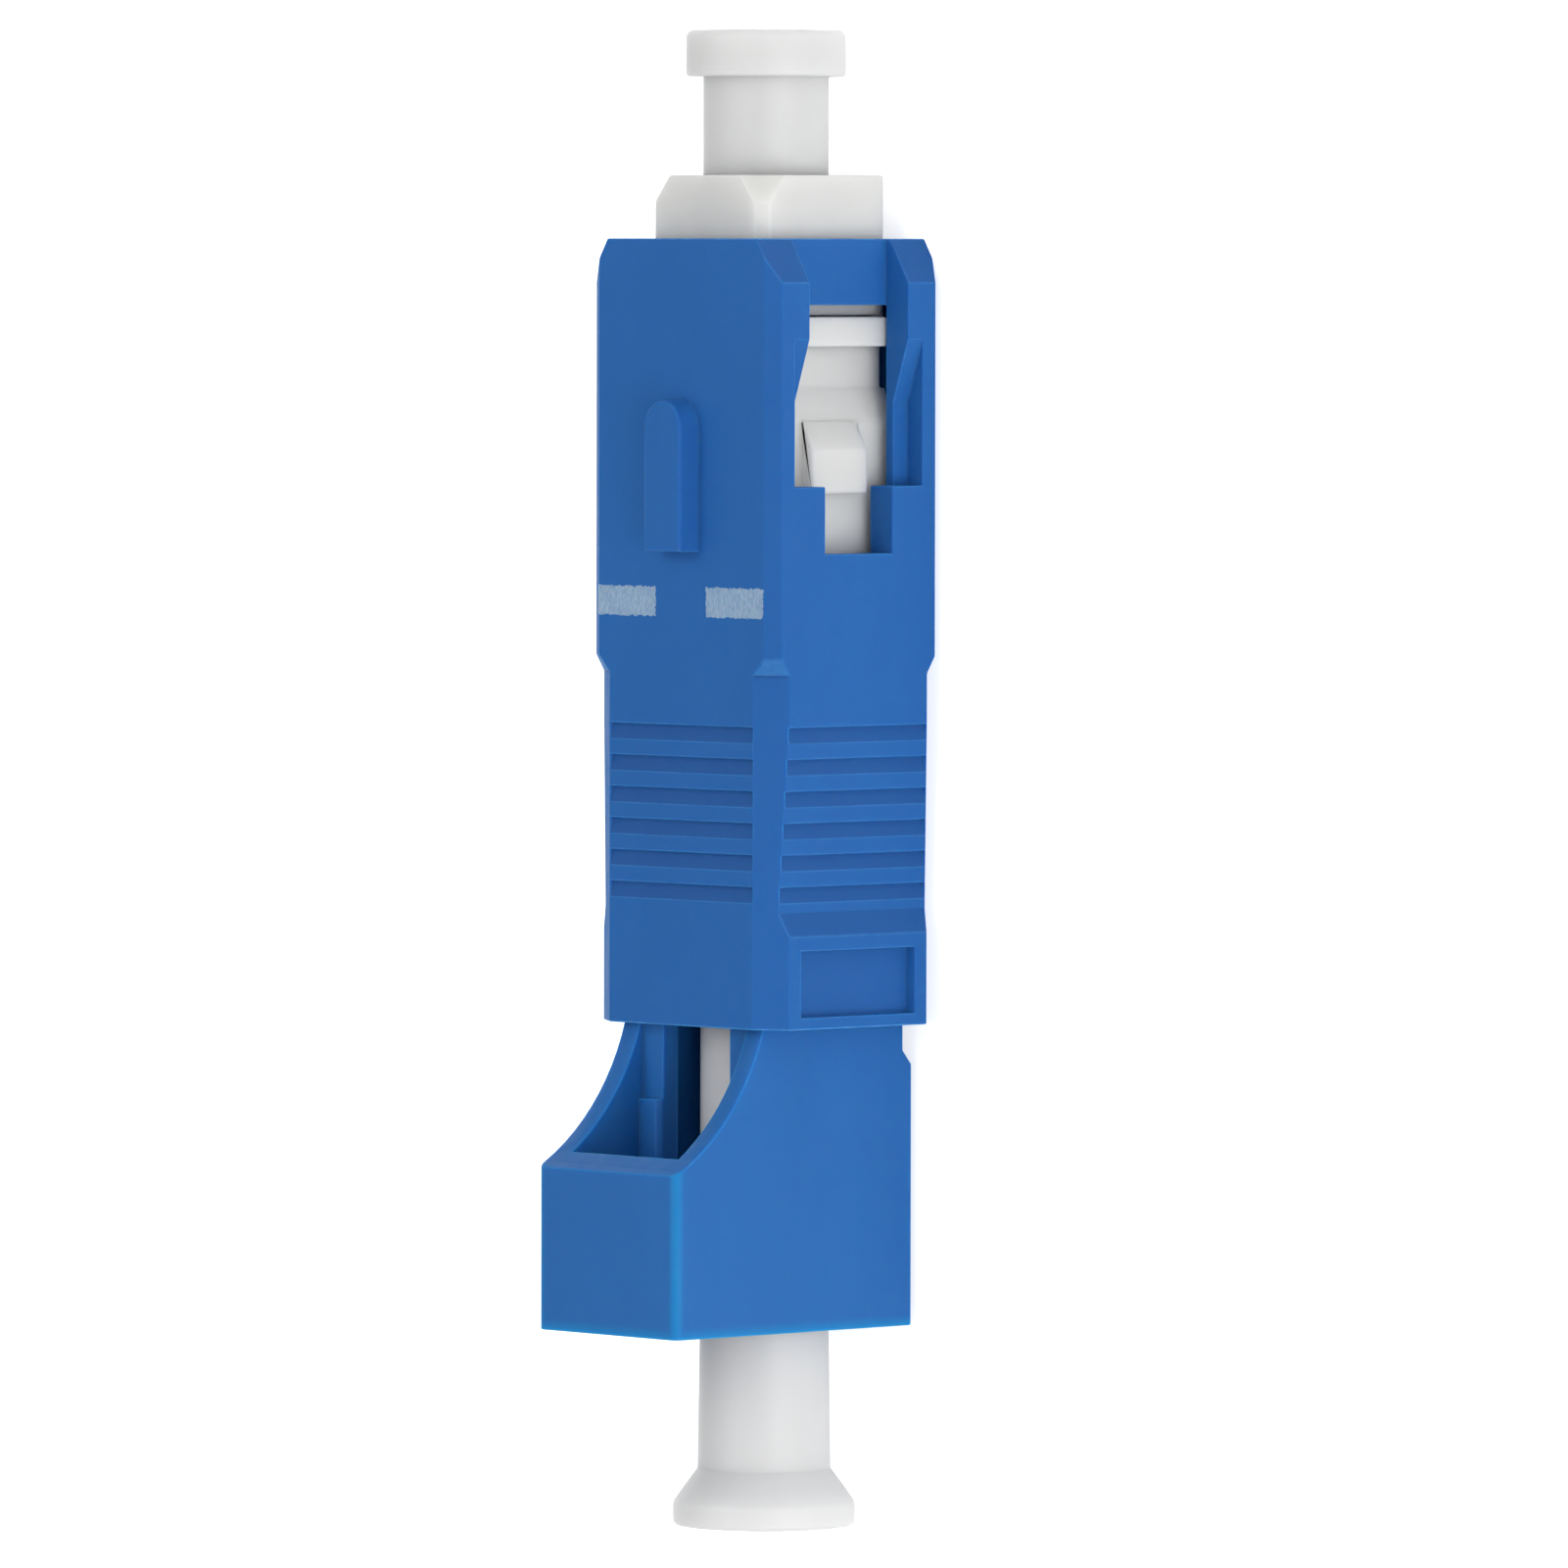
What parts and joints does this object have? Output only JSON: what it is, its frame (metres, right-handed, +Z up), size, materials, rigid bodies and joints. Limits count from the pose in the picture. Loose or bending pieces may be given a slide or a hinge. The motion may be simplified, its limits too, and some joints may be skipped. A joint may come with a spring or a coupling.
{
  "type": "hybrid fiber adapter",
  "caption": "Hybrid fibre adapter: a square push-pull plug with a sliding keyed sleeve on one end, a small latching socket on the other, both ends closed by dust caps.",
  "frame": {"origin": "centre of the whole adapter with its caps on, on the flat face that it lies on", "axes": "+X along the optical axis towards the SC plug, +Y across to one window face, +Z up through the key and the latch chamber"},
  "size_m": [0.0486, 0.009, 0.0106],
  "materials": {
    "housing_blue": "moulded blue plastic, fine satin",
    "socket_blue": "moulded blue plastic, fine satin",
    "frame_white": "natural off-white moulding, smooth",
    "cap_plastic": "soft natural polyethylene, slightly see-through",
    "zirconia": "polished white zirconia",
    "flange_metal": "turned, nickel plated",
    "stop_ring_metal": "turned, nickel plated",
    "holder_metal": "turned, nickel plated",
    "spring_steel": "bright spring wire",
    "fibre_glass": "bare glass fibre, polished flush"
  },
  "bodies": {
    "core": {"lc_socket_body": "socket_blue", "sc_plug_frame": "frame_white", "stop_ring": "stop_ring_metal", "sleeve_holder": "holder_metal", "split_sleeve": "zirconia", "ferrule_spring": "spring_steel"},
    "outer_housing": {"sc_outer_housing": "housing_blue"},
    "ferrule_assembly": {"sc_ferrule": "zirconia", "ferrule_flange": "flange_metal", "lc_ferrule": "zirconia", "fibre_stub": "fibre_glass"},
    "sc_cap": {"sc_dust_cap": "cap_plastic"},
    "lc_cap": {"lc_dust_cap": "cap_plastic"}
  },
  "joints": [
    {"name": "coupling_slide", "type": "slide", "parent": "core", "child": "outer_housing", "axis": [1, 0, 0], "range_m": [-0.00035, 0.0019]},
    {"name": "ferrule_float", "type": "slide", "parent": "core", "child": "ferrule_assembly", "axis": [-1, 0, 0], "range_m": [0, 0.0009], "stiffness_N_per_m": 2000, "springref_m": -0.004, "deforming": ["ferrule_spring"]},
    {"name": "sc_cap_pull", "type": "slide", "parent": "ferrule_assembly", "child": "sc_cap", "axis": [1, 0, 0], "range_m": [0, 0.009]},
    {"name": "lc_cap_pull", "type": "slide", "parent": "core", "child": "lc_cap", "axis": [-1, 0, 0], "range_m": [0, 0.013]}
  ]
}
